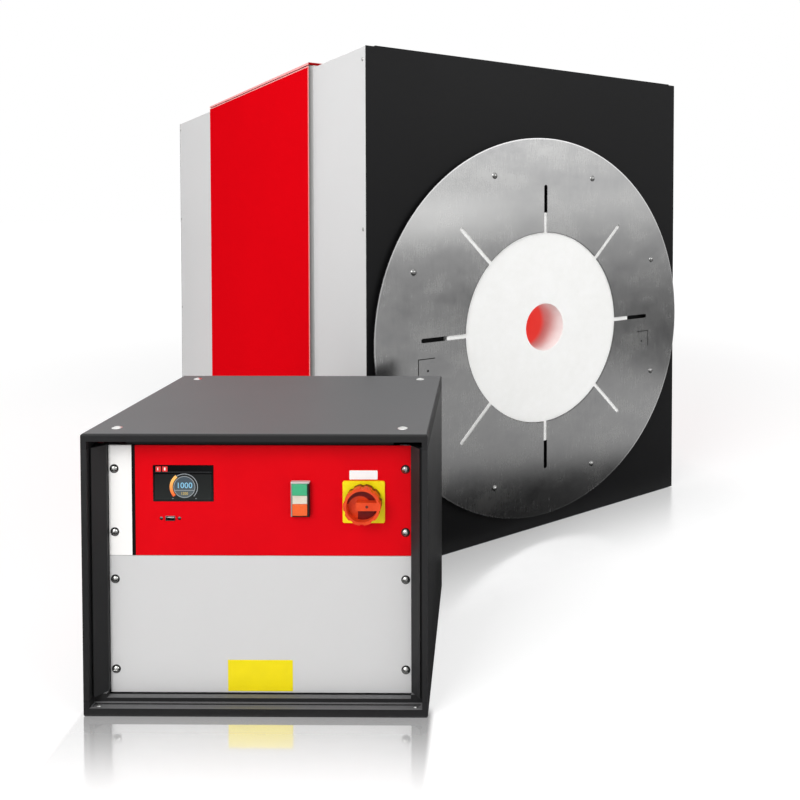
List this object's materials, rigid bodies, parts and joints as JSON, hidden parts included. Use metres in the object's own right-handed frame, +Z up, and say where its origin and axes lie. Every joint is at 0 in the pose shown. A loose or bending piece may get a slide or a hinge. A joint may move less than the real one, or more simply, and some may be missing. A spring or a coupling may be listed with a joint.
{
  "type": "horizontal tube furnace",
  "caption": "Box-shaped horizontal tube furnace with a round steel end disc and a bore through ceramic insulation, and a separate rack control unit with display, buttons and isolator.",
  "frame": {"origin": "on the floor under the furnace's middle, on the flat underside of the base frame's middle cross member; the furnace's centre line stands straight above it", "axes": "+Z up, +Y along the tube from the front end disc to the rear one, +X to the right of someone who looks at the front end disc; the control unit stands at the front left corner, turned 34 degrees clockwise seen from above"},
  "size_m": [1.518, 2.2625, 1.152],
  "materials": {
    "red_paint": "smooth semi-gloss powder coat",
    "grey_paint": "smooth satin powder coat",
    "black_paint": "fine satin powder coat",
    "frame_steel": "plain painted structural tube",
    "stainless": "brushed, vertical grain",
    "fastener_steel": "bright turned steel",
    "case_steel": "mill finish",
    "fibre_board": "vacuum-formed ceramic fibre board",
    "dense_ceramic": "fired alumina",
    "element": "glassy dark ceramic",
    "strap_metal": "bright braided",
    "case_charcoal": "fine textured powder coat",
    "zinc_sheet": "zinc plated sheet",
    "panel_red": "smooth satin printed film",
    "panel_grey": "smooth satin powder coat",
    "glass_black": "glossy dark display window",
    "plastic_black": "moulded, fine spark-eroded",
    "plastic_yellow": "smooth moulded",
    "plastic_orange_red": "smooth moulded",
    "button_green": "smooth moulded",
    "button_orange": "smooth moulded",
    "lamp_white": "milky lens",
    "gland_plastic": "moulded nylon",
    "heat_sink": "extruded",
    "iron_core": "varnished laminations"
  },
  "bodies": {
    "root": {"base_frame": "frame_steel", "button_housing": "plastic_black", "cable_glands": "gland_plastic", "case_base": "case_charcoal", "case_screws": "fastener_steel", "case_top": "case_charcoal", "casing_screws": "fastener_steel", "contactor": "plastic_black", "disc_bolts": "fastener_steel", "disc_spacers": "fastener_steel", "display_glass": "glass_black", "display_module": "plastic_black", "element_holders": "dense_ceramic", "element_straps": "strap_metal", "fan_frame": "plastic_black", "floor_insulation": "fibre_board", "front_disc": "stainless", "front_end_board": "fibre_board", "front_end_panel": "black_paint", "front_vestibule_block": "fibre_board", "grey_panel": "panel_grey", "hot_box_case": "case_steel", "isolator_plate": "plastic_yellow", "isolator_switch": "plastic_black", "lamp_lens": "lamp_white", "left_cover": "red_paint", "left_front_panel": "grey_paint", "left_heating_elements": "element", "left_rear_panel": "grey_paint", "left_side_profile": "case_charcoal", "left_wall_insulation": "fibre_board", "panel_screws": "fastener_steel", "rack_angles": "zinc_sheet", "rear_disc": "stainless", "rear_end_board": "fibre_board", "rear_end_panel": "black_paint", "rear_panel": "case_charcoal", "rear_vestibule_block": "fibre_board", "red_panel": "panel_red", "right_cover": "red_paint", "right_front_panel": "grey_paint", "right_heating_elements": "element", "right_rear_panel": "grey_paint", "right_side_profile": "case_charcoal", "right_wall_insulation": "fibre_board", "roof_insulation": "fibre_board", "terminal_block": "dense_ceramic", "thermocouples": "case_steel", "thyristor_unit": "heat_sink", "top_cover": "red_paint", "top_front_panel": "grey_paint", "top_rear_panel": "grey_paint", "transformer": "iron_core", "upright_frame": "frame_steel", "usb_screws": "fastener_steel", "usb_socket": "case_steel"},
    "isolator_handle": {"isolator_knob": "plastic_orange_red"},
    "start_key": {"start_button": "button_green"},
    "stop_key": {"stop_button": "button_orange"},
    "fan_wheel": {"fan_rotor": "plastic_black"}
  },
  "joints": [
    {"name": "isolator_turn", "type": "hinge", "parent": "root", "child": "isolator_handle", "pos_m": [-0.65436, -1.26184, 0.329], "axis": [-0.5592, -0.829, 0], "range_deg": [0, 90]},
    {"name": "start_press", "type": "slide", "parent": "root", "child": "start_key", "axis": [0.5592, 0.829, 0], "range_m": [0, 0.003], "stiffness_N_per_m": 400},
    {"name": "stop_press", "type": "slide", "parent": "root", "child": "stop_key", "axis": [0.5592, 0.829, 0], "range_m": [0, 0.003], "stiffness_N_per_m": 400},
    {"name": "fan_spin", "type": "hinge", "parent": "root", "child": "fan_wheel", "pos_m": [-0.4787, -0.97226, 0.13], "axis": [0.5592, 0.829, 0], "continuous": true}
  ]
}
